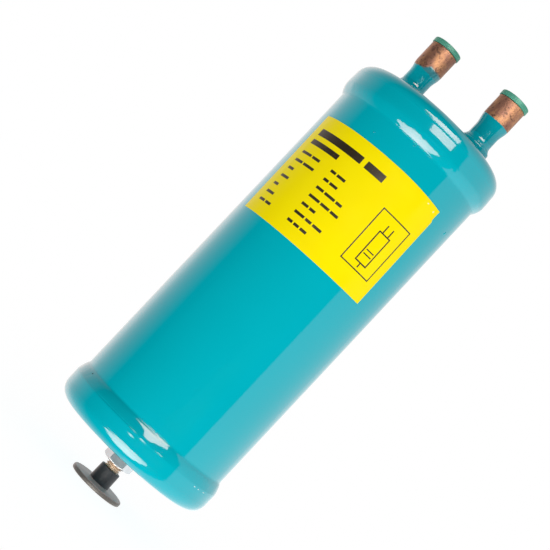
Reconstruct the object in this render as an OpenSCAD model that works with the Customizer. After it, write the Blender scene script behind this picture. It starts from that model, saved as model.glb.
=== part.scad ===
// Suction line accumulator: welded steel vessel, two swaged copper connections on the top head,
// a U-tube inside and a threaded mounting stud below, delivered with plugs and a thread protector.
// Millimetres, +Z up along the vessel, origin under the centre of the thread protector.

/* [Shell] */
// Outside diameter of the shell tube
shell_od = 101.6; // [92:0.1:130]
// Wall of the shell tube
shell_wall = 2; // [1.5:0.1:3]
// Height of the vessel from crown to crown
vessel_h = 260.3; // [240:0.1:400]

/* [Stamped heads] */
// Wall of a head
head_wall = 2.4; // [1.6:0.1:3.5]
// Height of a head from its crown to its rim
head_h = 17.2; // [15.5:0.1:24]
// Outside radius of the corner between skirt and crown
corner_r = 8.5; // [6:0.1:10]
// Rise of the shallow dome above the corner
dome_rise = 1.2; // [0.8:0.1:3]
// Radial clearance of a head over the tube
slip_gap = 0.1; // [0.05:0.05:0.3]
// Gap between the end of the tube and the start of the head's corner
tube_end_gap = 0.4; // [0.1:0.1:2]

/* [Seam welds] */
// Reach of a bead along the tube, from the head's rim
bead_leg = 7.7; // [6:0.1:10]
// Reach of a bead over the head, from its rim
bead_lap = 4.2; // [3.5:0.1:5]
// Bulge of a bead above the line between its toes
bead_bulge = 1.06; // [1.04:0.02:1.6]

/* [Connections] */
// Distance between the two connections
stub_pitch = 52.7; // [46:0.1:58]
// Outside diameter of the connection tube
pipe_od = 15.88; // [12.7:0.01:16]
// Wall of the connection tube
pipe_wall = 1.1; // [0.8:0.05:1.5]
// Radial gap of a brazed socket
solder_gap = 0.08; // [0.04:0.01:0.15]
// Straight depth of the swaged socket
socket_depth = 13.8; // [12:0.1:18]
// Length of the swage between neck and socket
swage_len = 7.8; // [4:0.1:10]
// Height of a connection above the crown
stub_rise = 36.8; // [32:0.1:60]
// Reach of a connection below the crown
stub_drop = 16; // [15:0.1:24]
// Bevel on the outer edge of the socket's mouth
lip_bevel = 0.35; // [0.1:0.05:0.6]
// Height of the braze collar above the crown
braze_h = 11; // [6:0.1:13]
// Radial width of the braze collar at its foot
braze_w = 7; // [4:0.1:8]
// Thickness of the braze collar at its edges
braze_edge = 0.3; // [0.2:0.05:0.5]

/* [Inlet deflector] */
// Wall of the deflector cup
deflector_wall = 1; // [0.8:0.1:1.5]
// Overlap of the cup on the inlet
deflector_lap = 8; // [5:0.5:10]
// Depth of the cup below the inlet
deflector_drop = 14; // [10:0.5:20]
// Width of the side window
window_w = 13; // [8:0.5:15]
// Turn of the window from the straight way to the wall
window_turn = 35; // [0:5:45]

/* [U-tube] */
// Wall of the U-tube
u_wall = 1.2; // [0.8:0.1:1.5]
// Centre line radius of the bend
bend_r = 22; // [19:0.5:25]
// Turn of the U-tube's plane from the line of the connections
u_turn = 30; // [26:1:40]
// Height of the bend's underside above the bottom head
sump_h = 22; // [20:0.5:40]
// Gap between the open end and the crown of the top head
vapour_gap = 20; // [12:0.5:40]
// Overlap of the U-tube's socket on the outlet
u_lap = 10; // [6:0.5:11]
// Length of the taper under the U-tube's socket
u_taper = 3; // [2:0.5:6]
// Diameter of the oil hole at the bend
oil_hole_d = 2; // [1:0.1:3]
// Diameter of the equalising hole in the outlet leg
equal_hole_d = 2.5; // [1.5:0.1:4]
// Drop of the equalising hole below the end of the outlet connection
equal_hole_drop = 12; // [8:0.5:30]

/* [Oil screen] */
// Outside diameter of the screen cup
screen_d = 14; // [11:0.5:15]
// Wall of the screen cup
screen_wall = 0.8; // [0.5:0.1:1.2]
// Depth of the screen cup below the bend
screen_drop = 11; // [9:0.5:13]
// Diameter of a perforation
mesh_hole_d = 1.8; // [1:0.1:2]
// Perforations in one ring
mesh_count = 10; // [6:1:12]
// Rings of perforations
mesh_rings = 3; // [2:1:3]
// Distance between the rings
mesh_pitch = 2.6; // [2.4:0.1:3]

/* [Leg brace] */
// Thickness of the brace
brace_t = 2; // [1.5:0.1:4]
// Width of metal round each leg
brace_rim = 4; // [3:0.5:6]
// Width of the web between the legs
brace_web = 12; // [8:0.5:15]
// Radial clearance of a leg in the brace
brace_gap = 0.1; // [0.05:0.05:0.3]

/* [Mounting stud] */
// Thread diameter of the stud
stud_d = 10; // [8:1:12]
// Length of the stud below the bottom head
stud_len = 22.3; // [20:0.1:40]
// Diameter of the stud's round head
stud_head_d = 22; // [18:0.5:28]
// Thickness of the stud's round head
stud_head_h = 3; // [2.5:0.1:5]
// Leg of the seal weld round the stud's head
stud_weld_leg = 2.4; // [1.5:0.1:2.5]
// Bevel at the tip of the stud
tip_bevel = 1; // [0.5:0.1:1.5]
// Radial clearance of the stud in the head, the nut and the protector
thread_gap = 0.1; // [0.05:0.05:0.3]

/* [Nut] */
// Width of the nut across its flats
nut_af = 17; // [15:0.5:19]
// Height of the nut
nut_h = 8; // [6:0.1:8.5]
// Share of the width across flats that the end faces keep
nut_face = 0.95; // [0.9:0.01:0.98]
// Turn of the nut from square to the front
nut_turn = 20; // [0:1:60]

/* [Thread protector] */
// Diameter of the flange
cap_flange_d = 35.3; // [28:0.1:45]
// Thickness of the flange
cap_flange_h = 2.8; // [2.2:0.1:5]
// Radius on the flange's edges
cap_edge_r = 0.9; // [0.4:0.1:1]
// Diameter of the hub at its mouth
cap_hub_d = 13; // [12.4:0.1:18]
// Widening of the hub towards the flange, on the radius
cap_draft = 0.3; // [0:0.05:0.6]
// Length of the protector from flange to mouth
cap_len = 13.5; // [10:0.1:15]
// Gap between the tip of the stud and the floor of the protector
tip_gap = 0.3; // [0.1:0.1:1]

/* [Plugs] */
// Diameter of a plug's flange
plug_flange_d = 19.3; // [18.8:0.1:24]
// Thickness of a plug's flange
plug_flange_h = 3.2; // [2:0.1:5]
// Depth of a plug in its socket
plug_depth = 10; // [6:0.1:11]
// Wall of a plug
plug_wall = 1.4; // [1:0.1:2]
// Radial clearance of a plug at the mouth of its socket
plug_gap = 0.05; // [0.02:0.01:0.1]
// Narrowing of a plug towards its closed end, on the radius
plug_draft = 0.3; // [0.1:0.05:0.5]
// Bevel on the top edge of a plug
plug_bevel = 0.4; // [0.2:0.1:0.8]

/* [Label] */
// Width of the label along the shell
label_w = 99; // [60:1:140]
// Height of the label
label_h = 69.4; // [40:0.1:90]
// Thickness of the label
label_t = 0.15; // [0.1:0.05:0.3]
// Gap between the top seam's bead and the label's upper edge
label_gap = 16.2; // [2:0.1:70]
// Turn of the label's middle from the front
label_turn = 9.4; // [-45:0.1:45]
// Thickness of the adhesive under the label
glue_t = 0.02; // [0.01:0.01:0.05]

/* [Hidden] */
$fn = 96;
// Facets of the dome's very large circle
dome_fn = 720;
// Steps in the smooth curve of a swage
swage_steps = 8;

paint = "#0b9fa8";
copper = "#b0703f";
steel = "#9aa0a4";
zinc = "#c9c6b4";
green_plastic = "#4f9d7c";
black_plastic = "#22252a";
yellow_film = "#ffe000";

// Vessel
shell_r = shell_od / 2;
head_r = shell_r + slip_gap + head_wall;
tangent_h = corner_r + dome_rise;
corner_x = head_r - corner_r;
dome_r = corner_r + (corner_x * corner_x + dome_rise * dome_rise) / (2 * dome_rise);
base_z = cap_flange_h + tip_gap + stud_len;
top_z = base_z + vessel_h;
// Spare length of a cutter past what it cuts
cut = head_wall;

// Seam bead: a circle through both toes
toe_head = [head_r, bead_lap - head_h];
toe_tube = [shell_r, -head_h - bead_leg];
bead_chord = norm(toe_tube - toe_head);
bead_r = bead_chord * bead_chord / (8 * bead_bulge) + bead_bulge / 2;
bead_out = [toe_head.y - toe_tube.y, shell_r - head_r] / bead_chord;
bead_centre = (toe_head + toe_tube) / 2 - (bead_r - bead_bulge) * bead_out;

// Connections
pipe_r = pipe_od / 2;
socket_r = pipe_r + solder_gap;
bell_r = socket_r + pipe_wall;
swage_z = stub_rise - socket_depth - swage_len;
stub_x = stub_pitch / 2;
inner_end_z = top_z - stub_drop;
// Concave arc of the braze collar, which ends below the swage
braze_top = min(braze_h, swage_z);
braze_fall = braze_top - braze_edge;
braze_run = braze_w - braze_edge;
braze_arc_r = (braze_run * braze_run + braze_fall * braze_fall) / (2 * braze_run);

// U-tube: the outlet leg hangs under the outlet, the vapour leg stands a bend away
bend_mid = [stub_x - bend_r * cos(u_turn), bend_r * sin(u_turn)];
bend_low_z = base_z + head_wall + sump_h;
bend_z = bend_low_z + bend_r + pipe_r;
vapour_end_z = top_z - vapour_gap;
u_bore_r = pipe_r - u_wall;
u_socket_r = socket_r + u_wall;
brace_z = (bend_z + inner_end_z) / 2;

// Mounting stud
stud_r = stud_d / 2;
stud_head_r = stud_head_d / 2;
tip_z = base_z - stud_len;
nut_corner_r = nut_af / 2 / cos(30);
nut_face_r = nut_face * nut_af / 2;
nut_bevel_r = nut_corner_r + cut;
nut_bevel_h = (nut_bevel_r - nut_face_r) * tan(30);

// Label
label_sweep = label_w / shell_r * 180 / PI;
label_z = top_z - head_h - bead_leg - label_gap - label_h;

// Height of the bottom head's inner face at a radius
function floor_z(r) = base_z + dome_r - sqrt(pow(dome_r - head_wall, 2) - r * r);

// Smooth step from 0 to 1
function ease(t) = (1 - cos(180 * t)) / 2;

// Points of a swage from one radius to another, upwards from a height
function swage(r0, r1, z) = [
    for (i = [0 : swage_steps])
        [r0 + (r1 - r0) * ease(i / swage_steps), z + swage_len * i / swage_steps]
];

function reversed(points) = [for (i = [len(points) - 1 : -1 : 0]) points[i]];

// Half section of a head with its crown at zero, drawn in by an inset, with a skirt down to skirt_h
module head_section(inset, skirt_h) {
    inner_dome_r = dome_r - inset;
    translate([0, -skirt_h]) square([head_r - inset, skirt_h - tangent_h]);
    translate([corner_x, -tangent_h]) circle(r = corner_r - inset);
    intersection() {
        translate([0, -dome_r]) circle(r = inner_dome_r, $fn = dome_fn);
        translate([0, -skirt_h]) square([inner_dome_r * corner_x / (dome_r - corner_r), skirt_h]);
    }
}

module head_blank() {
    rotate_extrude() difference() {
        head_section(0, head_h);
        head_section(head_wall, head_h + cut);
    }
}

module seam_bead() {
    rotate_extrude() difference() {
        intersection() {
            translate(bead_centre) circle(r = bead_r, $fn = dome_fn);
            translate([shell_r, toe_tube.y - cut]) square([head_wall * 2, bead_leg + head_h]);
        }
        translate([0, -head_h]) square([head_r, head_h]);
    }
}

// Places a piece drawn under a crown at zero at the foot of the vessel
module at_bottom() {
    translate([0, 0, base_z]) mirror([0, 0, 1]) children();
}

module shell_tube() {
    end_inset = tangent_h + tube_end_gap;
    color(paint) translate([0, 0, base_z + end_inset]) difference() {
        cylinder(r = shell_r, h = vessel_h - 2 * end_inset);
        translate([0, 0, -cut]) cylinder(r = shell_r - shell_wall, h = vessel_h);
    }
}

module top_head() {
    color(paint) difference() {
        translate([0, 0, top_z]) head_blank();
        for (side = [-1, 1])
            translate([side * stub_x, 0, top_z - tangent_h])
                cylinder(r = socket_r, h = tangent_h + cut);
    }
}

module bottom_head() {
    color(paint) difference() {
        at_bottom() head_blank();
        translate([0, 0, base_z - cut]) cylinder(r = stud_r + thread_gap, h = tangent_h + cut);
    }
}

module top_seam_weld() {
    color(paint) translate([0, 0, top_z]) seam_bead();
}

module bottom_seam_weld() {
    color(paint) at_bottom() seam_bead();
}

// Connection tube with its swaged socket, the crown of the head at zero
module stub() {
    rotate_extrude() polygon(concat(
        [[pipe_r - pipe_wall, -stub_drop], [pipe_r, -stub_drop]],
        swage(pipe_r, bell_r, swage_z),
        [[bell_r, stub_rise - lip_bevel], [bell_r - lip_bevel, stub_rise], [socket_r, stub_rise]],
        reversed(swage(pipe_r - pipe_wall, socket_r, swage_z))
    ));
}

module inlet_stub() {
    color(copper) translate([-stub_x, 0, top_z]) stub();
}

module outlet_stub() {
    color(copper) translate([stub_x, 0, top_z]) stub();
}

// Concave collar of filler round a connection, its foot cut square to the dome
module braze(side) {
    foot_z = top_z - dome_r + sqrt(dome_r * dome_r - stub_x * stub_x);
    foot_tilt = asin(stub_x / dome_r);
    difference() {
        translate([side * stub_x, 0, top_z]) rotate_extrude() difference() {
            translate([pipe_r, -corner_r]) square([braze_w, corner_r + braze_top]);
            translate([pipe_r + braze_edge + braze_arc_r, braze_top]) circle(r = braze_arc_r);
        }
        translate([side * stub_x, 0, foot_z]) rotate([0, side * foot_tilt, 0])
            translate([0, 0, -corner_r]) cube([pipe_od * 2, pipe_od * 2, corner_r * 2], center = true);
    }
}

module inlet_braze() {
    color(paint) braze(-1);
}

module outlet_braze() {
    color(paint) braze(1);
}

module inlet_deflector() {
    cup_r = socket_r + deflector_wall;
    floor_t = deflector_wall;
    window_h = deflector_drop - 2 * floor_t;
    color(steel) translate([-stub_x, 0, inner_end_z - deflector_drop]) difference() {
        cylinder(r = cup_r, h = deflector_drop + deflector_lap);
        translate([0, 0, floor_t]) cylinder(r = socket_r, h = deflector_drop + deflector_lap);
        rotate([0, 0, 180 - window_turn]) translate([0, -window_w / 2, floor_t])
            cube([cup_r + cut, window_w, window_h]);
    }
}

// Frame of the U-tube: the middle of the bend at zero, the outlet leg on +X, the vapour leg on -X
module u_frame() {
    translate([bend_mid.x, bend_mid.y, 0]) rotate([0, 0, -u_turn]) children();
}

// A section swept round the bend from one leg to the other
module bend_sweep() {
    translate([0, 0, bend_z]) rotate([-90, 0, 0])
        rotate_extrude(angle = 180) translate([bend_r, 0]) children();
}

// Leg under the outlet, opened at the top to a socket over the outlet's inner end
module outlet_leg() {
    translate([bend_r, 0, 0]) rotate_extrude() polygon([
        [u_bore_r, bend_z],
        [pipe_r, bend_z],
        [pipe_r, inner_end_z - u_taper - u_wall],
        [u_socket_r, inner_end_z - u_wall],
        [u_socket_r, inner_end_z + u_lap],
        [socket_r, inner_end_z + u_lap],
        [socket_r, inner_end_z - solder_gap],
        [u_bore_r, inner_end_z - u_taper],
    ]);
}

// Leg with the open end near the top
module vapour_leg() {
    translate([-bend_r, 0, bend_z]) difference() {
        cylinder(r = pipe_r, h = vapour_end_z - bend_z);
        translate([0, 0, -cut]) cylinder(r = u_bore_r, h = vapour_end_z - bend_z + 2 * cut);
    }
}

module u_tube() {
    color(steel) u_frame() difference() {
        union() {
            outlet_leg();
            bend_sweep() difference() {
                circle(r = pipe_r);
                circle(r = u_bore_r);
            }
            vapour_leg();
        }
        translate([0, 0, bend_low_z - cut]) cylinder(d = oil_hole_d, h = cut + pipe_r);
        translate([bend_r, 0, inner_end_z - u_taper - equal_hole_drop])
            rotate([0, 90, 0]) cylinder(d = equal_hole_d, h = pipe_r + cut);
    }
}

module oil_screen() {
    screen_r = screen_d / 2;
    foot_z = bend_low_z - screen_drop;
    color(zinc) u_frame() difference() {
        difference() {
            translate([0, 0, foot_z]) cylinder(r = screen_r, h = screen_drop + pipe_r);
            bend_sweep() circle(r = pipe_r + solder_gap);
        }
        translate([0, 0, foot_z + screen_wall])
            cylinder(r = screen_r - screen_wall, h = screen_drop + pipe_r);
        for (ring = [0 : mesh_rings - 1], i = [0 : mesh_count - 1])
            translate([0, 0, foot_z + screen_wall + mesh_pitch * (ring + 0.5)])
                rotate([0, 90, 360 * (i + ring / 2) / mesh_count])
                    cylinder(d = mesh_hole_d, h = screen_r + cut);
    }
}

module leg_brace() {
    color(steel) u_frame() translate([0, 0, brace_z]) linear_extrude(brace_t) difference() {
        union() {
            for (side = [-1, 1])
                translate([side * bend_r, 0]) circle(r = pipe_r + brace_rim);
            square([2 * bend_r, brace_web], center = true);
        }
        for (side = [-1, 1])
            translate([side * bend_r, 0]) circle(r = pipe_r + brace_gap);
    }
}

module mounting_stud() {
    seat_z = floor_z(stud_head_r);
    color(zinc) rotate_extrude() polygon([
        [0, tip_z],
        [stud_r - tip_bevel, tip_z],
        [stud_r, tip_z + tip_bevel],
        [stud_r, seat_z],
        [stud_head_r, seat_z],
        [stud_head_r, seat_z + stud_head_h],
        [0, seat_z + stud_head_h],
    ]);
}

module stud_weld() {
    seat_z = floor_z(stud_head_r);
    color(steel) rotate_extrude() polygon([
        [stud_head_r, seat_z],
        [stud_head_r + stud_weld_leg, floor_z(stud_head_r + stud_weld_leg)],
        [stud_head_r, seat_z + stud_weld_leg],
    ]);
}

module hex_nut() {
    color(zinc) translate([0, 0, base_z - nut_h]) difference() {
        intersection() {
            rotate([0, 0, nut_turn]) cylinder(r = nut_corner_r, h = nut_h, $fn = 6);
            rotate_extrude() polygon([
                [0, 0],
                [nut_face_r, 0],
                [nut_bevel_r, nut_bevel_h],
                [nut_bevel_r, nut_h - nut_bevel_h],
                [nut_face_r, nut_h],
                [0, nut_h],
            ]);
        }
        translate([0, 0, -cut]) cylinder(r = stud_r + thread_gap, h = nut_h + 2 * cut);
    }
}

module thread_protector() {
    flange_r = cap_flange_d / 2;
    hub_r = cap_hub_d / 2;
    color(black_plastic) rotate_extrude() difference() {
        union() {
            square([flange_r - cap_edge_r, cap_flange_h]);
            translate([0, cap_edge_r]) square([flange_r, cap_flange_h - 2 * cap_edge_r]);
            for (z = [cap_edge_r, cap_flange_h - cap_edge_r])
                translate([flange_r - cap_edge_r, z]) circle(r = cap_edge_r);
            polygon([[0, 0], [hub_r + cap_draft, 0], [hub_r, cap_len], [0, cap_len]]);
        }
        translate([0, cap_flange_h]) square([stud_r + thread_gap, cap_len]);
    }
}

// Cup plug with a flange, the mouth of its socket at zero
module plug() {
    body_r = socket_r - plug_gap;
    flange_r = plug_flange_d / 2;
    rotate_extrude() polygon([
        [0, -plug_depth],
        [body_r - plug_draft, -plug_depth],
        [body_r, 0],
        [flange_r, 0],
        [flange_r, plug_flange_h - plug_bevel],
        [flange_r - plug_bevel, plug_flange_h],
        [body_r - plug_wall, plug_flange_h],
        [body_r - plug_draft - plug_wall, plug_wall - plug_depth],
        [0, plug_wall - plug_depth],
    ]);
}

module inlet_plug() {
    color(green_plastic) translate([-stub_x, 0, top_z + stub_rise]) plug();
}

module outlet_plug() {
    color(green_plastic) translate([stub_x, 0, top_z + stub_rise]) plug();
}

module label() {
    color(yellow_film) translate([0, 0, label_z])
        rotate([0, 0, label_turn - 90 - label_sweep / 2])
            rotate_extrude(angle = label_sweep) translate([shell_r + glue_t, 0]) square([label_t, label_h]);
}

shell_tube();
top_head();
bottom_head();
top_seam_weld();
bottom_seam_weld();
inlet_stub();
outlet_stub();
inlet_braze();
outlet_braze();
inlet_deflector();
u_tube();
oil_screen();
leg_brace();
mounting_stud();
stud_weld();
hex_nut();
thread_protector();
inlet_plug();
outlet_plug();
label();
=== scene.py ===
"""Dresses a suction line accumulator: gloss paint over uneven weld beads, tarnished copper connections
with moulded plugs, a threaded stud with its nut and protector, and a printed label.

Metres throughout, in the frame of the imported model: +Z up along the vessel, the label towards -Y.
"""

import math
import random

import bpy
from mathutils import Matrix, Vector, noise


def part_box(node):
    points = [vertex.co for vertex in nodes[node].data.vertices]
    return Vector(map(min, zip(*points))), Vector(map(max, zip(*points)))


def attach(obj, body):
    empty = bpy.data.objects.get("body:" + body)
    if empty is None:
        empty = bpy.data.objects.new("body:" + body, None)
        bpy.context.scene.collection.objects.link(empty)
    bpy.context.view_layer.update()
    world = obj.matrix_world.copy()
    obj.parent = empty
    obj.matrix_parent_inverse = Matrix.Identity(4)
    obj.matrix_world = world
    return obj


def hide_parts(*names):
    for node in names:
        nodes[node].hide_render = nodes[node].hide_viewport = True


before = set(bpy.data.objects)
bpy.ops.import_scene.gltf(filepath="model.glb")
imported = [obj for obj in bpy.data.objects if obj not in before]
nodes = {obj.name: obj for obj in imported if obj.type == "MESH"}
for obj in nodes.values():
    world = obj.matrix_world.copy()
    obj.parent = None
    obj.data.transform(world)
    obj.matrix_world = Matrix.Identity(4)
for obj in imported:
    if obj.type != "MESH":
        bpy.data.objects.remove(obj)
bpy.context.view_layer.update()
MM = 0.001

# Sizes of the vessel, taken from the frame where a node's box gives them
TUBE_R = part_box("shell_tube")[1].x
HEAD_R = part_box("bottom_head")[1].x
TOP_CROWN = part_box("top_head")[1].z
BOTTOM_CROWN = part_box("bottom_head")[0].z
DOME_R = 845.4 * MM

# Seam beads, in mm from the crown: start on the skirt, the skirt's flare, the head's rim, the toe, its ease
SKIRT_START = 9.4
FLARE_START = 10.4
FLARE_END = 15.3
CREASE = 17.7
BEAD_END = 25.2
TOE_EASE = 1.2

# Unevenness of the beads: how far it spreads along the surface, and its heights in mm
LUMP_SPAN = 15 * MM
FINE_SPAN = 5 * MM
RIPPLE_PITCH = 4.2 * MM
RIPPLE_LAG = 5 * MM
LUMP_HEIGHT = 0.25
FINE_HEIGHT = 0.08
RIPPLE_HEIGHT = 0.012

# Connections
STUB_X = (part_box("outlet_stub")[0].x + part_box("outlet_stub")[1].x) / 2
STUB_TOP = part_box("outlet_stub")[1].z
PIPE_R = 7.94 * MM

# Braze collars, in mm above the head and out from the pipe
COLLAR_HEIGHT = 10.4
FILLET_TOP = 10
FILLET_HEIGHT = 3
FILLET_REACH = 1.05
RING_MIDDLE = 5.2
RING_HALF = 1.2
RING_REACH = 1.1
FOOT_HEIGHT = 3
FOOT_REACH = 3
COLLAR_SKIN = 0.02
COLLAR_LUMP = 0.06

# Stud, nut and thread protector
STUD_LOW, STUD_HIGH = (corner.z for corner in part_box("mounting_stud"))
THREAD_R = 5.0 * MM
THREAD_PITCH = 1.5 * MM
THREAD_DEPTH = 0.92 * MM
STUD_HEAD_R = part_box("mounting_stud")[1].x
STUD_HEAD_HEIGHT = 3 * MM
NUT_LOW, NUT_HIGH = (corner.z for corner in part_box("hex_nut"))
NUT_ACROSS_FLATS = 17 * MM
CAP_FLANGE_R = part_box("thread_protector")[1].x
CAP_FLANGE_HEIGHT = 2.8
CAP_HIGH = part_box("thread_protector")[1].z

# Label, laid out flat in its own width and height
LABEL_LOW, LABEL_HIGH = (corner.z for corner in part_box("label"))
LABEL_WIDTH = 99 * MM
LABEL_HEIGHT = LABEL_HIGH - LABEL_LOW
LABEL_TURN = math.radians(9.4)
LABEL_TILT = math.radians(1.1)
LABEL_THICKNESS = 0.15 * MM
GLUE_THICKNESS = 0.02 * MM
INK_THICKNESS = 0.012 * MM

# Worn upper right corner of the label: where the film lifts, where its edge is torn and how far it droops
LIFT_WIDTH = 13 * MM
LIFT_HEIGHT = 9 * MM
TEAR_HEIGHT = 7.5 * MM
TEAR_DEPTH = 0.9 * MM
CORNER_DROOP = 1.3 * MM

# Camera: where it stands round the vessel and how it is held
VIEW_AZIMUTH = math.radians(20)
CAMERA_DISTANCE = 840.6 * MM
CAMERA_HEIGHT = 120.15 * MM
CAMERA_TILT = 0.04533
CAMERA_PAN = -0.009103
CAMERA_ROLL = 0.75426
CAMERA_LENS = 95.73


def deselect():
    """Leaves edit mode and selects nothing."""
    if bpy.context.object and bpy.context.object.mode != "OBJECT":
        bpy.ops.object.mode_set(mode="OBJECT")
    bpy.ops.object.select_all(action="DESELECT")


def pick(*objs):
    """Selects these objects, the first of them active."""
    deselect()
    for obj in objs:
        obj.select_set(True)
    bpy.context.view_layer.objects.active = objs[0]


def edit(obj, whole=True):
    """Opens an object in edit mode with all or nothing of it selected."""
    pick(obj)
    bpy.ops.object.mode_set(mode="EDIT")
    bpy.ops.mesh.select_all(action="SELECT" if whole else "DESELECT")


def close_edit():
    bpy.ops.object.mode_set(mode="OBJECT")


def face_outwards():
    """Turns all faces of the open mesh outwards."""
    bpy.ops.mesh.select_all(action="SELECT")
    bpy.ops.mesh.normals_make_consistent(inside=False)


def settle(obj, smooth_angle=35):
    """Puts an object's place into its mesh and shades it smooth up to an angle in degrees."""
    pick(obj)
    bpy.ops.object.transform_apply(location=True, rotation=True, scale=True)
    bpy.ops.object.shade_smooth_by_angle(angle=math.radians(smooth_angle))
    return obj


def apply_modifier(obj, kind, **settings):
    """Adds a modifier and applies it."""
    pick(obj)
    modifier = obj.modifiers.new(kind.title(), kind)
    for name, value in settings.items():
        setattr(modifier, name, value)
    bpy.ops.object.modifier_apply(modifier=modifier.name)


def boolean(obj, tool, operation):
    """Cuts or trims an object with another, which is then removed."""
    apply_modifier(obj, "BOOLEAN", object=tool, operation=operation, solver="EXACT")
    bpy.data.objects.remove(tool)


def draw_chain(name, points):
    """Draws a chain of edges through (radius, height) points in the XZ plane, one extrusion each."""
    deselect()
    bpy.ops.mesh.primitive_plane_add(size=MM)
    obj = bpy.context.object
    obj.name = name
    bpy.ops.object.mode_set(mode="EDIT")
    bpy.ops.mesh.select_all(action="SELECT")
    bpy.ops.mesh.merge(type="CENTER")
    bpy.ops.transform.translate(value=(points[0][0], 0, points[0][1]))
    for before, after in zip(points, points[1:]):
        step = (after[0] - before[0], 0, after[1] - before[1])
        bpy.ops.mesh.extrude_region_move(TRANSFORM_OT_translate={"value": step})
    close_edit()
    return obj


def round_corner(obj, point, radius, segments=5):
    """Rounds the corner of a drawn chain that lies at a (radius, height) point."""
    edit(obj, whole=False)
    close_edit()
    spot = Vector((point[0], 0, point[1]))
    corner = min(obj.data.vertices, key=lambda v: (v.co - spot).length)
    corner.select = True
    bpy.ops.object.mode_set(mode="EDIT")
    bpy.ops.mesh.bevel(offset=radius, segments=segments, affect="VERTICES")
    close_edit()


def spin_round(obj, axis_x=0.0, steps=128):
    """Spins a drawn chain once round a vertical axis and closes its seam and poles."""
    edit(obj)
    bpy.ops.mesh.spin(steps=steps, angle=math.tau, center=(axis_x, 0, 0), axis=(0, 0, 1))
    bpy.ops.mesh.select_all(action="SELECT")
    bpy.ops.mesh.remove_doubles(threshold=0.0005 * MM)
    face_outwards()
    close_edit()
    return obj


def turned(name, corners, axis_x=0.0, base_z=0.0, steps=128):
    """Turns a piece from (radius, height, rounding) corners in millimetres above base_z."""
    points = [(axis_x + r * MM, base_z + z * MM) for r, z, _ in corners]
    obj = draw_chain(name, points)
    for point, (_, _, rounding) in zip(points, corners):
        if rounding:
            round_corner(obj, point, rounding * MM)
    return settle(spin_round(obj, axis_x, steps))


# Shader helpers


def add_node(tree, kind, **settings):
    node = tree.nodes.new(kind)
    for name, value in settings.items():
        setattr(node, name, value)
    return node


def feed(tree, socket, value):
    """Links a socket to an output, or sets it to a plain value."""
    if isinstance(value, bpy.types.NodeSocket):
        tree.links.new(value, socket)
    else:
        socket.default_value = value


def calc(tree, operation, first, second=0.0):
    node = add_node(tree, "ShaderNodeMath", operation=operation)
    feed(tree, node.inputs[0], first)
    feed(tree, node.inputs[1], second)
    return node.outputs[0]


def remap(tree, value, low, high, to_low=0.0, to_high=1.0, smooth=False):
    """Maps a value from one range to another and holds it there."""
    node = add_node(tree, "ShaderNodeMapRange", clamp=True)
    node.interpolation_type = "SMOOTHSTEP" if smooth else "LINEAR"
    feed(tree, node.inputs["Value"], value)
    for name, limit in (("From Min", low), ("From Max", high), ("To Min", to_low), ("To Max", to_high)):
        feed(tree, node.inputs[name], limit)
    return node.outputs[0]


def blend(tree, share, first, second):
    """Mixes two colours by a share."""
    node = add_node(tree, "ShaderNodeMix", data_type="RGBA")
    feed(tree, node.inputs["Factor"], share)
    feed(tree, node.inputs[6], first)
    feed(tree, node.inputs[7], second)
    return node.outputs[2]


def grain(tree, place, scale, detail=2.0, roughness=0.5, stretch=(1, 1, 1)):
    """Noise of about 1/scale metres, drawn out along an axis where stretch says so."""
    mapping = add_node(tree, "ShaderNodeMapping")
    feed(tree, mapping.inputs["Vector"], place)
    feed(tree, mapping.inputs["Scale"], stretch)
    node = add_node(tree, "ShaderNodeTexNoise")
    feed(tree, node.inputs["Vector"], mapping.outputs[0])
    feed(tree, node.inputs["Scale"], scale)
    feed(tree, node.inputs["Detail"], detail)
    feed(tree, node.inputs["Roughness"], roughness)
    return node.outputs["Fac"]


def measure(tree, place, direction):
    """Distance along a direction."""
    node = add_node(tree, "ShaderNodeVectorMath", operation="DOT_PRODUCT")
    feed(tree, node.inputs[0], place)
    feed(tree, node.inputs[1], direction)
    return node.outputs["Value"]


def new_group(name, inputs, outputs):
    """A shader node group with named value or vector inputs and value outputs."""
    group = bpy.data.node_groups.new(name, "ShaderNodeTree")
    for socket_name, kind in inputs:
        group.interface.new_socket(socket_name, in_out="INPUT", socket_type=kind)
    for socket_name in outputs:
        group.interface.new_socket(socket_name, in_out="OUTPUT", socket_type="NodeSocketFloat")
    way_in = group.nodes.new("NodeGroupInput").outputs
    way_out = group.nodes.new("NodeGroupOutput").inputs
    return group, way_in, way_out


def place_group(tree, group, **values):
    node = add_node(tree, "ShaderNodeGroup", node_tree=group)
    for name, value in values.items():
        feed(tree, node.inputs[name], value)
    return node.outputs


def coat_group():
    """Sprayed coat: slow changes of shade, and orange peel."""
    group, way_in, way_out = new_group("sprayed_coat", [("Place", "NodeSocketVector")], ["Shade", "Peel"])
    place = way_in["Place"]
    shade = grain(group, place, 16, detail=2.5)
    feed(group, way_out["Shade"], remap(group, shade, 0.3, 0.7))
    feed(group, way_out["Peel"], grain(group, place, 420, detail=1.0))
    return group


def handling_group():
    """Handling: fine scratches across each other and a dull film where fingers and cartons rubbed."""
    group, way_in, way_out = new_group(
        "handling_marks", [("Place", "NodeSocketVector")], ["Scratches", "Film"]
    )
    place = way_in["Place"]
    along = grain(group, place, 90, detail=3.0, stretch=(14, 14, 1))
    across = grain(group, place, 120, detail=3.0, stretch=(1, 1, 16))
    crossed = calc(group, "MAXIMUM", along, across)
    feed(group, way_out["Scratches"], remap(group, crossed, 0.62, 0.74))
    feed(group, way_out["Film"], remap(group, grain(group, place, 55, detail=4.0), 0.35, 0.7))
    return group


COAT = coat_group()
HANDLING = handling_group()

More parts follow.
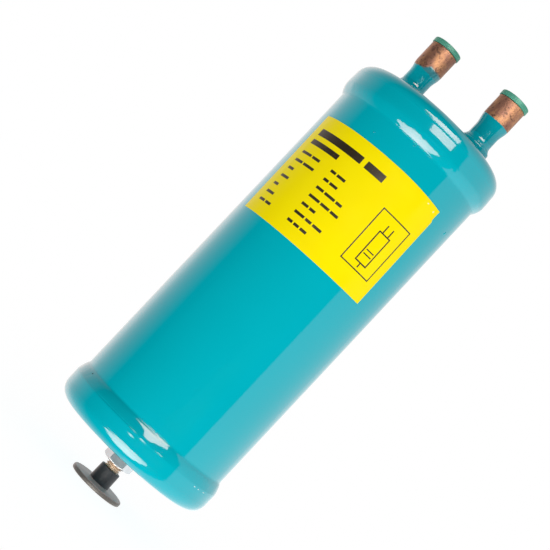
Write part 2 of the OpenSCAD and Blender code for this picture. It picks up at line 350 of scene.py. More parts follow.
PAINT_COLOUR = (0.0, 0.44, 0.525, 1)
PAINT_DEEP = (0.0, 0.42, 0.5, 1)
# The next three colours are painted shade and painted light: darker paint for the seam beads and the outlet's
# neck, lighter paint for the inlet's neck.
PAINT_SHADE = (0.0, 0.365, 0.435, 1)
PAINT_SHADE_DARKER = (0.0, 0.335, 0.395, 1)
PAINT_LIT = (0.0, 0.485, 0.575, 1)
GLOSS_TINT = (1, 0.74, 0.7, 1)
PEEL_DEPTH = 0.0025 * MM
COPPER_BRIGHT = (0.46, 0.222, 0.104, 1)
COPPER_TARNISH = (0.26, 0.116, 0.076, 1)
COPPER_SPOT = (0.14, 0.065, 0.04, 1)
OVERSPRAY = 0.72


def new_material(name):
    """A material with its shader, and the place on the surface that patterns read."""
    material = bpy.data.materials.new(name)
    material.use_nodes = True
    tree = material.node_tree
    shader = tree.nodes["Principled BSDF"]
    place = add_node(tree, "ShaderNodeTexCoord").outputs["Object"]
    return material, tree, shader, place


def raise_surface(tree, shader, height, distance, strength=1.0):
    """Feeds a height into the shader's normal."""
    bump = add_node(tree, "ShaderNodeBump")
    feed(tree, bump.inputs["Height"], height)
    feed(tree, bump.inputs["Distance"], distance)
    feed(tree, bump.inputs["Strength"], strength)
    feed(tree, shader.inputs["Normal"], bump.outputs[0])


def gloss_paint():
    """Gloss paint, with painted shade: darker on the seam beads, most of all towards the camera's left."""
    material, tree, shader, place = new_material("gloss_paint")
    coat = place_group(tree, COAT, Place=place)
    colour = blend(tree, coat["Shade"], PAINT_DEEP, PAINT_COLOUR)
    # Painted shade: the paint is darker on both seam beads, in a band from the toe to the head's rim.
    height = measure(tree, place, (0, 0, 1))
    toe, rim = (TOP_CROWN - depth * MM for depth in (BEAD_END, CREASE))
    start = remap(tree, height, toe - 0.2 * MM, toe + 0.8 * MM, smooth=True)
    top = calc(tree, "MULTIPLY", start, remap(tree, height, toe, rim, 0.6, 0.3))
    toe, rim = (BOTTOM_CROWN + depth * MM for depth in (BEAD_END, CREASE))
    start = remap(tree, height, toe - 1.0 * MM, toe + 0.2 * MM, 1.0, 0.0, smooth=True)
    end = remap(tree, height, rim - 0.1 * MM, rim + 0.3 * MM, smooth=True)
    bead_shade = calc(tree, "MAXIMUM", top, calc(tree, "MULTIPLY", start, end))
    # The painted shade fades out towards the camera's right, where more light falls.
    across = measure(tree, place, (math.cos(VIEW_AZIMUTH), math.sin(VIEW_AZIMUTH), 0))
    bead_shade = calc(tree, "MULTIPLY", bead_shade, remap(tree, across, -20 * MM, 28 * MM, 1.0, 0.0))
    feed(tree, shader.inputs["Base Color"], blend(tree, bead_shade, colour, PAINT_SHADE))
    feed(tree, shader.inputs["Roughness"], remap(tree, coat["Shade"], 0, 1, 0.045, 0.075))
    raise_surface(tree, shader, coat["Peel"], PEEL_DEPTH)
    shader.inputs["Specular Tint"].default_value = GLOSS_TINT
    return material


def copper_with_paint(name, axis_x, line, rise, softness, age, tones):
    """Tarnished copper above a paint line, past which a thin overspray reaches on the right by rise."""
    material, tree, shader, place = new_material(name)
    coat = place_group(tree, COAT, Place=place)
    marks = place_group(tree, HANDLING, Place=place)
    lean = 0.06
    right = (math.cos(VIEW_AZIMUTH), math.sin(VIEW_AZIMUTH), 0)
    height = measure(tree, place, (lean * right[1], -lean * right[0], 1))
    line += lean * axis_x * right[1]
    wander = remap(tree, grain(tree, place, 260, detail=3.0), 0.3, 0.7, -softness, softness)
    height = calc(tree, "ADD", height, wander)
    full = remap(tree, height, line - softness, line + softness, 1.0, 0.0, smooth=True)
    across = measure(tree, place, right)
    start = axis_x * right[0]
    upper = remap(tree, across, start - 4 * MM, start + 1 * MM, line, line + rise, smooth=True)
    above = calc(tree, "SUBTRACT", height, upper)
    thin = remap(tree, above, -2 * softness, 1.4 * softness, OVERSPRAY, 0.0, smooth=True)
    painted = calc(tree, "MAXIMUM", full, thin)
    patches = grain(tree, place, 190, detail=5.0, roughness=0.62, stretch=(1, 1, 0.6))
    tarnish = remap(tree, patches, 0.4 - age, 0.62 - age)
    bright = blend(tree, tarnish, COPPER_BRIGHT, COPPER_TARNISH)
    spots = remap(tree, grain(tree, place, 520, detail=3.0), 0.6 - 0.5 * age, 0.7 - 0.5 * age)
    copper = blend(tree, spots, bright, COPPER_SPOT)
    # The neck's paint tones carry painted light on the inlet and painted shade on the outlet.
    sprayed = blend(tree, coat["Shade"], *tones)
    feed(tree, shader.inputs["Base Color"], blend(tree, painted, copper, sprayed))
    bare_roughness = remap(tree, marks["Film"], 0, 1, 0.45, 0.6)
    roughness = add_node(tree, "ShaderNodeMix", data_type="FLOAT")
    feed(tree, roughness.inputs["Factor"], painted)
    feed(tree, roughness.inputs[2], bare_roughness)
    feed(tree, roughness.inputs[3], 0.08)
    feed(tree, shader.inputs["Roughness"], roughness.outputs[0])
    feed(tree, shader.inputs["Metallic"], remap(tree, painted, 0, 1, 0.46, 0.0))
    raise_surface(tree, shader, marks["Scratches"], 0.01 * MM, 0.4)
    return material


def plated_steel(name, light, dark, roughness, metallic):
    """Zinc plate: cloudy tint, fine scratches."""
    material, tree, shader, place = new_material(name)
    marks = place_group(tree, HANDLING, Place=place)
    cloud = remap(tree, grain(tree, place, 240, detail=3.0), 0.35, 0.65)
    feed(tree, shader.inputs["Base Color"], blend(tree, cloud, dark, light))
    shader.inputs["Metallic"].default_value = metallic
    feed(tree, shader.inputs["Roughness"], remap(tree, marks["Film"], 0, 1, roughness, roughness + 0.03))
    raise_surface(tree, shader, marks["Scratches"], 0.006 * MM, 0.25)
    return material


def moulded_plastic(name, light, dark, roughness, grain_depth, shine=0.5, dust_and_sheen=None):
    """Moulded plastic: faint flow marks, moulded grain and a rubbed film.

    The ledge's values are its height, the colour rubbed below it, and the colour of its top face, which is
    dust with a painted sheen.
    """
    material, tree, shader, place = new_material(name)
    marks = place_group(tree, HANDLING, Place=place)
    flow = remap(tree, grain(tree, place, 130, detail=3.0), 0.3, 0.7)
    colour = blend(tree, flow, dark, light)
    if dust_and_sheen:
        height = measure(tree, place, (0, 0, 1))
        ledge, rubbed, top_dust_and_sheen = dust_and_sheen
        low = remap(tree, height, ledge, ledge + 0.8 * MM, 1.0, 0.0, smooth=True)
        on_top = calc(tree, "MULTIPLY", low, remap(tree, height, ledge - 0.5 * MM, ledge - 0.1 * MM))
        colour = blend(tree, low, colour, blend(tree, on_top, rubbed, top_dust_and_sheen))
    feed(tree, shader.inputs["Base Color"], colour)
    feed(tree, shader.inputs["Roughness"], remap(tree, marks["Film"], 0, 1, roughness, roughness + 0.12))
    shader.inputs["Specular IOR Level"].default_value = shine
    raise_surface(tree, shader, grain(tree, place, 2600, detail=1.0), grain_depth)
    return material


def label_stock(name, dark, light):
    """Satin film: faint cloudiness and soft ripples of the film."""
    material, tree, shader, place = new_material(name)
    marks = place_group(tree, HANDLING, Place=place)
    cloud = grain(tree, place, 60, detail=2.0)
    feed(tree, shader.inputs["Base Color"], blend(tree, cloud, dark, light))
    feed(tree, shader.inputs["Roughness"], remap(tree, marks["Film"], 0, 1, 0.14, 0.2))
    shader.inputs["Specular IOR Level"].default_value = 0.12
    raise_surface(tree, shader, grain(tree, place, 160, detail=1.5), 0.02 * MM, 0.3)
    return material


def label_ink():
    """Printed ink, a little worn where the film was rubbed."""
    material, tree, shader, place = new_material("label_ink")
    marks = place_group(tree, HANDLING, Place=place)
    worn = remap(tree, grain(tree, place, 700, detail=2.0), 0.62, 0.8)
    feed(tree, shader.inputs["Base Color"], blend(tree, worn, (0.03, 0.02, 0.008, 1), (0.12, 0.08, 0.012, 1)))
    feed(tree, shader.inputs["Roughness"], remap(tree, marks["Film"], 0, 1, 0.3, 0.42))
    return material


paint = gloss_paint()
zinc = plated_steel("bright_zinc", (0.7, 0.71, 0.73, 1), (0.6, 0.61, 0.63, 1), 0.05, 0.55)
yellow_zinc = plated_steel("yellow_zinc", (0.62, 0.5, 0.38, 1), (0.5, 0.38, 0.28, 1), 0.3, 0.45)
steel = plated_steel("bare_steel", (0.5, 0.5, 0.5, 1), (0.36, 0.35, 0.34, 1), 0.34, 1.0)
green = moulded_plastic(
    "green_plastic", (0.08, 0.365, 0.255, 1), (0.066, 0.32, 0.217, 1), 0.4, 0.0008 * MM, shine=0.28,
)
# The flange's top face is painted pale brown: dust with a painted sheen of the bright room behind.
black = moulded_plastic(
    "black_plastic", (0.044, 0.044, 0.048, 1), (0.032, 0.032, 0.035, 1), 0.36, 0.005 * MM,
    shine=0.35, dust_and_sheen=(CAP_FLANGE_HEIGHT * MM, (0.11, 0.098, 0.088, 1), (0.57, 0.31, 0.285, 1)),
)
dirt = moulded_plastic("dirt", (0.02, 0.09, 0.1, 1), (0.015, 0.07, 0.08, 1), 0.7, 0.002 * MM, shine=0.1)
# Pale flecks that stand in for glints: painted highlights on the head's rim.
glint_fleck = moulded_plastic("painted_glint", (0.55, 0.78, 0.8, 1), (0.45, 0.7, 0.72, 1), 0.3, 0.002 * MM)
film = label_stock("label_film", (0.98, 0.78, 0.0, 1), (1.0, 0.84, 0.0, 1))
# Paler film for the flecks at the label's worn corner.
pale_film = label_stock("pale_label_film", (1.0, 0.86, 0.35, 1), (1.0, 0.92, 0.6, 1))
ink = label_ink()


def finish_piece(obj, material, slot, *stands_for):
    """Gives a piece its finish and its place on the model."""
    obj.data.materials.clear()
    obj.data.materials.append(material)
    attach(obj, "root")
    if stands_for:
        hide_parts(*stands_for)
    return obj


# CAD nodes that keep their own shape
KEPT_FINISH = {
    "shell_tube": paint,
    "top_head": paint,
    "bottom_head": paint,
    # The inlet's neck is painted lighter than the tube: painted light where the head shades it.
    "inlet_stub": copper_with_paint(
        "inlet_copper", -STUB_X, line=305.3 * MM, rise=3.4 * MM, softness=0.5 * MM, age=0.08,
        tones=(PAINT_COLOUR, PAINT_LIT),
    ),
    # The outlet's neck is painted darker than the tube: painted shade.
    "outlet_stub": copper_with_paint(
        "outlet_copper", STUB_X, line=308.2 * MM, rise=0.0, softness=0.15 * MM, age=0.05,
        tones=(PAINT_SHADE_DARKER, PAINT_SHADE),
    ),
    "inlet_deflector": steel,
    "u_tube": steel,
    "oil_screen": zinc,
    "leg_brace": steel,
    "stud_weld": steel,
}
for node_name, material in KEPT_FINISH.items():
    nodes[node_name].material_slots[0].material = material


def bead_slope(depth, flare, foot, peak, power):
    """Slope in degrees at a depth in millimetres: the skirt's flare, then the bead, steepest at its toe."""
    if depth < CREASE:
        return flare if FLARE_START < depth < FLARE_END else 0.0
    share = min((depth - CREASE) / (BEAD_END - TOE_EASE - CREASE), 1.0)
    slope = foot + (peak - foot) * share ** power
    return -slope * min(max(BEAD_END - depth, 0.0), 1.0)


def seam_bead(name, node_name, crown, away, slopes, seed, bumps):
    """A weld bead under paint round a head's rim; away is the direction from the crown along the vessel.

    Slopes are those of bead_slope. Bumps are (angle from the camera, depth, width, height, rise).
    """
    paint_film = 0.04 * MM
    overlap = 0.3
    step = 0.22
    depths = [SKIRT_START + step * i for i in range(round((BEAD_END - SKIRT_START) / step) + 1)]
    rises = [step * math.tan(math.radians(bead_slope(depth + step / 2, *slopes))) for depth in depths[:-1]]
    crest = sum(rise for rise in rises if rise > 0)
    drop = (HEAD_R - TUBE_R) / MM + crest
    fit = drop / -sum(rise for rise in rises if rise < 0)
    radius = HEAD_R + paint_film
    points = [(HEAD_R - 3 * paint_film, (SKIRT_START - overlap) * MM), (radius, depths[0] * MM)]
    for depth, rise in zip(depths[1:], rises):
        radius += rise * MM * (fit if rise < 0 else 1)
        points.append((radius, depth * MM))
    points.append((TUBE_R - 3 * paint_film, (BEAD_END + overlap) * MM))
    points.append(points[0])
    bead = draw_chain(name, [(r, crown + away * depth) for r, depth in points])
    spin_round(bead, steps=420)
    for vertex in bead.data.vertices:
        depth = (vertex.co.z - crown) * away / MM
        share = min(max((depth - CREASE) / (BEAD_END - CREASE), 0.0), 1.0)
        angle = math.atan2(vertex.co.y, vertex.co.x)
        out = Vector((math.cos(angle), math.sin(angle), 0))
        spot = Vector((out.x * HEAD_R, out.y * HEAD_R, depth * MM))
        lumps = noise.noise(spot / LUMP_SPAN + Vector((seed, 0, 0)))
        fine = noise.noise(spot / FINE_SPAN + Vector((0, seed, 0)))
        lag = RIPPLE_LAG * (2 * share - 1) ** 2
        ripple = math.sin((angle * HEAD_R + lag) / RIPPLE_PITCH * math.tau + 2 * lumps)
        uneven = LUMP_HEIGHT * lumps + FINE_HEIGHT * fine + RIPPLE_HEIGHT * ripple
        lift = math.sin(math.pi * share ** 0.7) * uneven
        for turn, low, width, height, rise in bumps:
            across = (angle + math.pi / 2 - VIEW_AZIMUTH - math.radians(turn)) * HEAD_R / MM
            across = math.remainder(across, math.tau * HEAD_R / MM)
            spread = height if depth > low else min(height, 0.8)
            lift += rise * math.exp(-((across / width) ** 2) - ((depth - low) / spread) ** 2)
        vertex.co += out * MM * lift
    return finish_piece(settle(bead, 60), paint, "paint", node_name)


seam_bead(
    "top_seam_bead", "top_seam_weld", TOP_CROWN, away=-1, slopes=(3.2, 5, 34, 0.95), seed=3.7, bumps=[],
)
seam_bead(
    "bottom_seam_bead", "bottom_seam_weld", BOTTOM_CROWN, away=1, slopes=(0.8, 16.5, 35, 3), seed=11.3,
    bumps=[
        (-25, CREASE + 0.3, 48, 0.5, -0.24),
        (-5, 15.6, 2.6, 0.8, 0.1),
        (2, CREASE + 0.4, 4.5, 2.4, 0.3),
    ],
)


def dome_drop(x, y):
    """How far the top head lies below its crown at a place."""
    return DOME_R - math.sqrt(DOME_R ** 2 - x * x - y * y)


def collar_reach(rise):
    """How far a collar stands out from its pipe at a height: concave fillet, round ring, flared foot."""
    fillet = FILLET_REACH * min(max(FILLET_TOP - rise, 0.0) / FILLET_HEIGHT, 1.0) ** 2
    ring = RING_REACH * math.sqrt(max(1 - max((rise - RING_MIDDLE) / RING_HALF, 0.0) ** 2, 0.0))
    return COLLAR_SKIN + fillet + ring + FOOT_REACH * max(1 - rise / FOOT_HEIGHT, 0.0) ** 2


def braze_collar(name, node_name, axis_x, lower, seed):
    """Filler from the head up a connection, uneven as it froze; lower is how far its profile is sunk."""
    rows = 80
    sunk = 0.1 * MM
    buried = 0.3 * MM
    points = []
    for row in range(rows + 1):
        rise = (COLLAR_HEIGHT - lower) * row / rows
        points.append((axis_x + PIPE_R + collar_reach(rise + lower) * MM, TOP_CROWN + rise * MM - sunk))
    inside = axis_x + PIPE_R - buried
    points.append((inside, points[-1][1] + sunk))
    points.append((inside, TOP_CROWN - buried))
    points.append((points[0][0], TOP_CROWN - buried))
    points.append(points[0])
    collar = draw_chain(name, points)
    spin_round(collar, axis_x, steps=120)
    for vertex in collar.data.vertices:
        from_axis = Vector((vertex.co.x - axis_x, vertex.co.y, 0))
        reach = from_axis.length - PIPE_R
        if reach > 0:
            lump = noise.noise(vertex.co / FINE_SPAN + Vector((seed, 0, 0)))
            vertex.co += from_axis.normalized() * (COLLAR_LUMP * lump * reach)
        vertex.co.z -= dome_drop(vertex.co.x, vertex.co.y)
    return finish_piece(settle(collar, 60), paint, "paint", node_name)


braze_collar("inlet_collar", "inlet_braze", -STUB_X, lower=-0.5, seed=2.1)
braze_collar("outlet_collar", "outlet_braze", STUB_X, lower=0, seed=8.4)


def socket_plugs():
    """A moulded cup plug in each socket, the second a copy of the first."""
    corners = [
        (0, -10, 0),
        (7.67, -10, 0.6),
        (7.97, 0, 0),
        (9.65, 0, 0.25),
        (9.65, 3.2, 0.5),
        (6.57, 3.2, 0.3),
        (6.27, -8.6, 0.8),
        (0, -8.6, 0),
    ]
    inlet = turned("inlet_socket_plug", corners, -STUB_X, STUB_TOP, steps=96)
    pick(inlet)
    bpy.ops.object.duplicate()
    outlet = bpy.context.object
    outlet.name = "outlet_socket_plug"
    outlet.location.x = 2 * STUB_X
    finish_piece(inlet, green, "green_plastic", "inlet_plug")
    finish_piece(settle(outlet), green, "green_plastic", "outlet_plug")


socket_plugs()


def threaded_stud():
    """A helical thread on the stud's shank, and the round head that seats inside the vessel."""
    root_r = THREAD_R - THREAD_DEPTH
    flank = THREAD_DEPTH * math.tan(math.radians(30))
    crest = THREAD_PITCH / 8
    root = THREAD_PITCH - 2 * flank - crest
    shank_top = STUD_HIGH - STUD_HEAD_HEIGHT
    start = STUD_LOW - 2 * THREAD_PITCH
    shank = draw_chain(
        "stud_thread",
        [
            (root_r, start),
            (root_r, start + root),
            (THREAD_R, start + root + flank),
            (THREAD_R, start + root + flank + crest),
            (root_r, start + THREAD_PITCH),
        ],
    )
    turns = math.ceil((shank_top - start) / THREAD_PITCH) + 1
    apply_modifier(
        shank, "SCREW", axis="Z", angle=math.tau, screw_offset=THREAD_PITCH, iterations=turns,
        steps=64, render_steps=64, use_merge_vertices=True, merge_threshold=0.001 * MM,
    )
    edit(shank)
    bpy.ops.mesh.remove_doubles(threshold=0.001 * MM)
    for height, up in ((STUD_LOW - 0.3 * MM, -1), (shank_top + 0.2 * MM, 1)):
        bpy.ops.mesh.select_all(action="SELECT")
        bpy.ops.mesh.bisect(plane_co=(0, 0, height), plane_no=(0, 0, up), use_fill=True, clear_outer=True)
    face_outwards()
    close_edit()
    low = STUD_LOW / MM
    point_r = 4
    clear_r = 5.05
    point_height = 1.05
    above = 40
    envelope = turned("stud_envelope", [
        (0, low, 0), (point_r, low, 0), (clear_r, low + point_height, 0), (clear_r, above, 0), (0, above, 0),
    ])
    boolean(shank, envelope, "INTERSECT")
    edit(shank)
    bpy.ops.mesh.remove_doubles(threshold=0.004 * MM)
    bpy.ops.mesh.dissolve_degenerate(threshold=0.002 * MM)
    bpy.ops.mesh.select_all(action="SELECT")
    bpy.ops.mesh.fill_holes(sides=0)
    face_outwards()
    close_edit()
    high = STUD_HIGH / MM
    seat = high - STUD_HEAD_HEIGHT / MM
    head_r = STUD_HEAD_R / MM
    head = turned("stud_head", [(0, seat, 0), (head_r, seat, 0), (head_r, high, 0.4), (0, high, 0)])
    pick(shank, head)
    bpy.ops.object.join()
    return finish_piece(settle(shank, 30), yellow_zinc, "yellow_zinc", "mounting_stud")


threaded_stud()


def hexagon_nut():
    """A hexagon trimmed by a double cone, bored, with its edges broken."""
    height = (NUT_HIGH - NUT_LOW) / MM
    corner = NUT_ACROSS_FLATS / 2 / math.cos(math.pi / 6)
    deselect()
    bpy.ops.mesh.primitive_cylinder_add(
        vertices=6, radius=corner, depth=NUT_HIGH - NUT_LOW,
        location=(0, 0, (NUT_LOW + NUT_HIGH) / 2), rotation=(0, 0, VIEW_AZIMUTH + math.pi / 6),
    )
    nut = bpy.context.object
    nut.name = "stud_nut"
    face_r = 8.1
    cone_r = 12.2
    slope = (cone_r - face_r) * math.tan(math.radians(30))
    cone = turned("nut_cone", [
        (0, 0, 0), (face_r, 0, 0), (cone_r, slope, 0), (cone_r, height - slope, 0),
        (face_r, height, 0), (0, height, 0),
    ], base_z=NUT_LOW)
    boolean(nut, cone, "INTERSECT")
    bore_r = 5.1
    mouth_r = 6.4
    lead_in = 0.6
    past = 1
    bore = turned("nut_bore", [
        (0, -past, 0), (mouth_r, -past, 0), (bore_r, lead_in, 0), (bore_r, height - lead_in, 0),
        (mouth_r, height + past, 0), (0, height + past, 0),
    ], base_z=NUT_LOW)
    boolean(nut, bore, "DIFFERENCE")
    apply_modifier(nut, "BEVEL", width=0.14 * MM, segments=2, limit_method="ANGLE", angle_limit=0.4)
    return finish_piece(settle(nut, 8), zinc, "bright_zinc", "hex_nut")


hexagon_nut()


def protector():
    """A cap with a wide flange and a sleeve that narrows a little towards its mouth."""
    flange_r = CAP_FLANGE_R / MM
    ledge = CAP_FLANGE_HEIGHT
    mouth = CAP_HIGH / MM
    sleeve_foot_r = 6.74
    sleeve_mouth_r = 6.5
    bore_r = 5.1
    cap = turned(
        "stud_protector",
        [
            (0, 0, 0),
            (flange_r, 0, 0.9),
            (flange_r, ledge, 0.9),
            (sleeve_foot_r, ledge, 0.7),
            (sleeve_mouth_r, mouth, 0.35),
            (bore_r, mouth, 0.25),
            (bore_r, ledge, 0),
            (0, ledge, 0),
        ],
        steps=160,
    )
    return finish_piece(cap, black, "black_plastic", "thread_protector")


protector()


# Label: drawn flat, then rolled onto the tube


def roll_on_tube(obj):
    """Rolls a flat sheet, drawn in width, height and lift, onto the tube."""
    for vertex in obj.data.vertices:
        across = vertex.co.x - LABEL_WIDTH / 2
        up = vertex.co.y - LABEL_HEIGHT / 2
        along = across * math.cos(LABEL_TILT) - up * math.sin(LABEL_TILT)
        rise = across * math.sin(LABEL_TILT) + up * math.cos(LABEL_TILT)
        radius = TUBE_R + GLUE_THICKNESS + vertex.co.z
        angle = LABEL_TURN + along / TUBE_R
        middle = (LABEL_LOW + LABEL_HIGH) / 2
        vertex.co = (radius * math.sin(angle), -radius * math.cos(angle), middle + rise)


def worn_corner(x, y):
    """Lift of the film near its upper right corner, where it creased."""
    reach = math.hypot((LABEL_WIDTH - x) / LIFT_WIDTH, (LABEL_HEIGHT - y) / LIFT_HEIGHT)
    if reach > 1:
        return 0.0
    crease = noise.noise(Vector((x, y * 1.6, 0)) / (3.2 * MM))
    return (1 - reach) ** 2 * MM * (0.12 + 0.35 * max(0.0, crease))


def label_film():
    """The label's sheet, with its worn corner."""
    deselect()
    bpy.ops.mesh.primitive_grid_add(x_subdivisions=198, y_subdivisions=92, size=1)
    sheet = bpy.context.object
    sheet.name = "label_film"
    bpy.ops.object.mode_set(mode="EDIT")
    bpy.ops.transform.resize(value=(LABEL_WIDTH, LABEL_HEIGHT, 1))
    bpy.ops.transform.translate(value=(LABEL_WIDTH / 2, LABEL_HEIGHT / 2, LABEL_THICKNESS))
    close_edit()
    torn_low = LABEL_HEIGHT - TEAR_HEIGHT
    for vertex in sheet.data.vertices:
        vertex.co.z += worn_corner(vertex.co.x, vertex.co.y)
        if vertex.co.y > torn_low:
            pulled = TEAR_DEPTH * min(1.0, (vertex.co.y - torn_low) / TEAR_DEPTH)
            vertex.co.x -= pulled * max(0.0, (vertex.co.x / LABEL_WIDTH) - 0.98) / 0.02
        to_side = max(0.0, vertex.co.x / LABEL_WIDTH - 0.66) / 0.34
        to_top = max(0.0, vertex.co.y / LABEL_HEIGHT - 0.75) / 0.25
        vertex.co.y -= CORNER_DROOP * to_side ** 1.6 * to_top
    roll_on_tube(sheet)
    apply_modifier(sheet, "SOLIDIFY", thickness=LABEL_THICKNESS, offset=-1.0)
    return finish_piece(settle(sheet), film, "label_film", "label")


def printed_bars():
    """Plain printed bars: a heading, paired rows and a field with a plain vessel outline.

    Bars are (left, low, width, height) in millimetres from the label's lower left corner.
    """
    draws = random.Random(7)
    bars = [(7, 56.5, 37, 4.6), (47, 56.5, 13, 4.6), (7, 50.3, 25, 3.2)]
    row_pitch = 5.9
    row_height = 1.7
    columns = ((7.0, (1, 2, 2), (4.5, 10), 1.1), (34.0, (2, 3, 3), (3.5, 8), 1.0))
    for row in range(7):
        low = 43.2 - row * row_pitch
        for left, counts, widths, gap in columns:
            for _ in range(draws.choice(counts)):
                width = draws.uniform(*widths)
                bars.append((left, low, width, row_height))
                left += width + gap
    bars += [(70, 12, 23, 0.7), (70, 47.3, 23, 0.7), (70, 12, 0.7, 36), (92.3, 12, 0.7, 36)]
    bars += [
        (77, 17, 0.8, 20), (85.2, 17, 0.8, 20), (77, 16.6, 9, 0.8), (77, 36.6, 9, 0.8),
        (79, 37.4, 0.8, 5), (83.2, 37.4, 0.8, 5), (81.1, 14, 0.8, 2.6), (78.6, 22, 5.8, 0.7),
        (78.6, 24.6, 5.8, 0.7),
    ]
    pieces = []
    for left, low, width, height in bars:
        deselect()
        bpy.ops.mesh.primitive_grid_add(x_subdivisions=max(1, round(width)), y_subdivisions=1, size=1)
        bar = bpy.context.object
        bpy.ops.object.mode_set(mode="EDIT")
        bpy.ops.transform.resize(value=(width * MM, height * MM, 1))
        lift = LABEL_THICKNESS + INK_THICKNESS
        bpy.ops.transform.translate(value=((left + width / 2) * MM, (low + height / 2) * MM, lift))
        close_edit()
        pieces.append(bar)
    pick(*pieces)
    bpy.ops.object.join()
    prints = pieces[0]
    prints.name = "label_print"
    roll_on_tube(prints)
    apply_modifier(prints, "SOLIDIFY", thickness=0.7 * INK_THICKNESS, offset=-1.0)
    return finish_piece(settle(prints), ink, "label_film")


label_film()
printed_bars()


def speck(name, turn, height, radii, material, slot, stand=0.0):
    """A dome on the tube at an angle from the camera, in degrees, and a height in millimetres.

    Its radii in millimetres are across, outwards and up, and stand is how far off the tube it sits.
    """
    angle = VIEW_AZIMUTH + math.radians(turn)
    buried = 0.3 * MM
    deselect()
    bpy.ops.mesh.primitive_uv_sphere_add(segments=20, ring_count=10, radius=MM)
    dome = bpy.context.object
    dome.name = name
    edit(dome)
    bpy.ops.mesh.bisect(plane_co=(0, buried, 0), plane_no=(0, 1, 0), use_fill=True, clear_outer=True)
    close_edit()
    dome.scale = radii
    dome.rotation_euler = (0, 0, angle)
    reach = TUBE_R + stand * MM
    dome.location = (math.sin(angle) * reach, -math.cos(angle) * reach, height * MM)
    return finish_piece(settle(dome), material, slot)


speck("paint_nib_front", 0, 258.9, (0.5, 0.45, 0.5), paint, "paint")
speck("paint_nib_left", -24.6, 250.2, (0.45, 0.4, 0.45), paint, "paint")
speck("paint_nib_right", 65.5, 239.8, (0.95, 0.45, 1.1), paint, "paint")
speck("dirt_speck", -57, 48.1, (0.45, 0.25, 0.45), dirt, "paint", stand=1.1)
# Pale flecks on the bottom head's rim: painted highlights.
for number, (turn, width) in enumerate(((48.5, 0.9), (53, 0.7), (60, 1.2)), 1):
    speck(f"rim_glint_{number}", turn, 42.0, (width, 0.45, 0.36), glint_fleck, "paint", stand=2.4)
# Two pale flecks near the label's worn corner.
speck("label_fleck_left", 32.3, 242.6, (0.75, 0.35, 0.42), pale_film, "label_film")
speck("label_fleck_right", 39.6, 241.6, (0.5, 0.5, 0.75), pale_film, "label_film")


# Studio: white behind and at the right, darkness on the camera's side, two soft boxes in front


def white_room():
    """The world: white to the eye, in gloss only behind and at the right, and even for soft light."""
    world = bpy.data.worlds.new("white_room")
    bpy.context.scene.world = world
    world.use_nodes = True
    tree = world.node_tree
    tree.nodes.clear()
    path = add_node(tree, "ShaderNodeLightPath").outputs
    turn = add_node(tree, "ShaderNodeVectorRotate", rotation_type="Z_AXIS")
    feed(tree, turn.inputs["Vector"], add_node(tree, "ShaderNodeTexCoord").outputs["Generated"])
    feed(tree, turn.inputs["Angle"], -VIEW_AZIMUTH)
    way = add_node(tree, "ShaderNodeSeparateXYZ")
    feed(tree, way.inputs[0], turn.outputs[0])
    side, depth = way.outputs["X"], way.outputs["Y"]
    ramp = remap(tree, depth, -0.1, 0.8, 0.0, 1.9)
    left_limit = remap(tree, side, -0.62, 0.15, 1.85, 0.65)
    right_limit = remap(tree, side, 0.3, 0.7, 0.6, 1.0)
    behind = calc(tree, "MINIMUM", ramp, calc(tree, "MAXIMUM", left_limit, right_limit))
    angle = calc(tree, "ARCTAN2", side, calc(tree, "MULTIPLY", depth, -1.0))
    bright = remap(tree, way.outputs["Z"], -0.1, 0.08, 1.3, 1.0)
    edge = [math.radians(degrees) for degrees in (58.5, 60.5)]
    panel = remap(tree, angle, *edge, 0.0, bright, smooth=True)
    gloss = calc(tree, "MAXIMUM", behind, panel)
    seen = calc(tree, "MAXIMUM", path["Is Camera Ray"], path["Is Transmission Ray"])
    soft = calc(tree, "MULTIPLY", path["Is Diffuse Ray"], remap(tree, way.outputs["Z"], -1, 1, 0.8, 0.44))
    shiny = calc(tree, "MULTIPLY", path["Is Glossy Ray"], gloss)
    level = calc(tree, "ADD", calc(tree, "ADD", seen, soft), shiny)
    background = add_node(tree, "ShaderNodeBackground")
    warmth = calc(tree, "MULTIPLY", path["Is Glossy Ray"], remap(tree, side, -0.3, 0.0, 1.0, 0.0))
    tint = blend(tree, warmth, (1, 1, 1, 1), (1, 0.88, 0.85, 1))
    feed(tree, background.inputs["Color"], tint)
    feed(tree, background.inputs["Strength"], level)
    output = add_node(tree, "ShaderNodeOutputWorld")
    tree.links.new(background.outputs[0], output.inputs["Surface"])


def pale_floor():
    """A pale floor that stays white to the camera but for the object's soft shadow."""
    deselect()
    bpy.ops.mesh.primitive_plane_add(size=12)
    floor = bpy.context.object
    floor.name = "studio_floor"
    floor.visible_glossy = False
    floor.visible_diffuse = False
    floor.visible_shadow = False
    material, tree, shader, _ = new_material("studio_floor")
    tree.nodes.remove(shader)
    path = add_node(tree, "ShaderNodeLightPath").outputs
    pale = add_node(tree, "ShaderNodeBsdfDiffuse")
    pale.inputs["Color"].default_value = (0.8, 0.8, 0.8, 1)
    white = add_node(tree, "ShaderNodeEmission")
    mix = add_node(tree, "ShaderNodeMixShader")
    share = calc(tree, "MULTIPLY", path["Is Camera Ray"], 0.8)
    tree.links.new(share, mix.inputs[0])
    tree.links.new(pale.outputs[0], mix.inputs[1])
    tree.links.new(white.outputs[0], mix.inputs[2])
    white.inputs["Strength"].default_value = 1.15
    tree.links.new(mix.outputs[0], tree.nodes["Material Output"].inputs["Surface"])
    floor.data.materials.append(material)


def toward(azimuth, elevation):
    """Direction at angles in degrees from the camera's side and above the level."""
    turn = VIEW_AZIMUTH + math.radians(azimuth)
    rise = math.radians(elevation)
    return Vector((math.sin(turn) * math.cos(rise), -math.cos(turn) * math.cos(rise), math.sin(rise)))


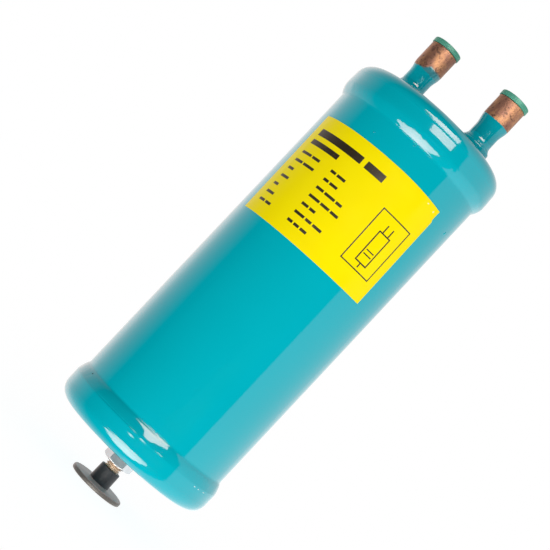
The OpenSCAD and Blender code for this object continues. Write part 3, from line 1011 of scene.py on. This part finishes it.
def key_light(azimuth, elevation, width, level):
    """A soft lamp for the matt side of the finishes; level is its light on a face turned to it."""
    distance = 1.0
    aim = toward(azimuth, elevation)
    lamp = bpy.data.lights.new("key_light", "AREA")
    lamp.shape = "DISK"
    lamp.size = 2 * distance * math.tan(math.radians(width) / 2)
    lamp.energy = level * math.pi ** 2 * distance ** 2
    obj = bpy.data.objects.new("key_light", lamp)
    obj.location = Vector((0, 0, TOP_CROWN / 2)) + aim * distance
    obj.rotation_euler = aim.to_track_quat("Z", "Y").to_euler()
    obj.visible_camera = False
    obj.visible_glossy = False
    bpy.context.scene.collection.objects.link(obj)


PANEL_DISTANCE = 0.83


def soft_panel(name, azimuth, elevation, aim_height, corners, level):
    """A light near the vessel that only gloss sees; corners lie right of and above its middle, in metres."""
    aim = toward(azimuth, elevation)
    panel = draw_chain(name, corners + corners[:1])
    edit(panel)
    bpy.ops.mesh.remove_doubles(threshold=MM)
    bpy.ops.mesh.edge_face_add()
    bpy.ops.mesh.bevel(offset=0.06, segments=6, affect="VERTICES")
    close_edit()
    panel.location = Vector((0, 0, aim_height)) + aim * PANEL_DISTANCE
    panel.rotation_euler = (-math.radians(elevation), 0, VIEW_AZIMUTH + math.radians(azimuth))
    for ray in ("camera", "diffuse", "transmission", "shadow"):
        setattr(panel, "visible_" + ray, False)
    material, tree, shader, place = new_material(name)
    tree.nodes.remove(shader)
    reach = add_node(tree, "ShaderNodeVectorMath", operation="LENGTH")
    feed(tree, reach.inputs[0], place)
    glow = add_node(tree, "ShaderNodeEmission")
    feed(tree, glow.inputs["Color"], (1, 0.95, 0.87, 1))
    feed(tree, glow.inputs["Strength"], remap(tree, reach.outputs["Value"], 0.0, 0.5, level, 0.6 * level))
    tree.links.new(glow.outputs[0], tree.nodes["Material Output"].inputs["Surface"])
    panel.data.materials.append(material)


white_room()
pale_floor()
key_light(azimuth=23, elevation=-28, width=50, level=0.625)
soft_panel(
    "upper_panel", azimuth=13, elevation=31.5, aim_height=TOP_CROWN - 6 * MM,
    corners=[(-0.5, 0.1), (0.36, 0.24), (0.36, -0.25), (-0.18, -0.25)], level=15.5,
)
soft_panel(
    "lower_panel", azimuth=-5, elevation=-37, aim_height=BOTTOM_CROWN + 6 * MM,
    corners=[(-0.58, 0.13), (-0.19, 0.4), (0.54, 0.34), (0.54, 0.2), (0.15, -0.31), (-0.12, -0.38)],
    level=15.5,
)


def camera():
    """Stands the camera in front of the label, level with the vessel's lower half and rolled."""
    forward = Vector((
        math.sin(CAMERA_PAN) * math.cos(CAMERA_TILT),
        math.cos(CAMERA_PAN) * math.cos(CAMERA_TILT),
        math.sin(CAMERA_TILT),
    ))
    right = forward.cross(Vector((0, 0, 1))).normalized()
    up = right.cross(forward)
    rolled_right = math.cos(CAMERA_ROLL) * right + math.sin(CAMERA_ROLL) * up
    rolled_up = math.cos(CAMERA_ROLL) * up - math.sin(CAMERA_ROLL) * right
    stand = Matrix.Translation((0, -CAMERA_DISTANCE, CAMERA_HEIGHT))
    hold = Matrix((rolled_right, rolled_up, -forward)).transposed().to_4x4()
    data = bpy.data.cameras.new("camera")
    data.lens = CAMERA_LENS
    data.sensor_width = 36
    obj = bpy.data.objects.new("camera", data)
    obj.matrix_world = Matrix.Rotation(VIEW_AZIMUTH, 4, "Z") @ stand @ hold
    bpy.context.scene.collection.objects.link(obj)
    bpy.context.scene.camera = obj


camera()
bpy.context.scene.view_settings.view_transform = "Standard"
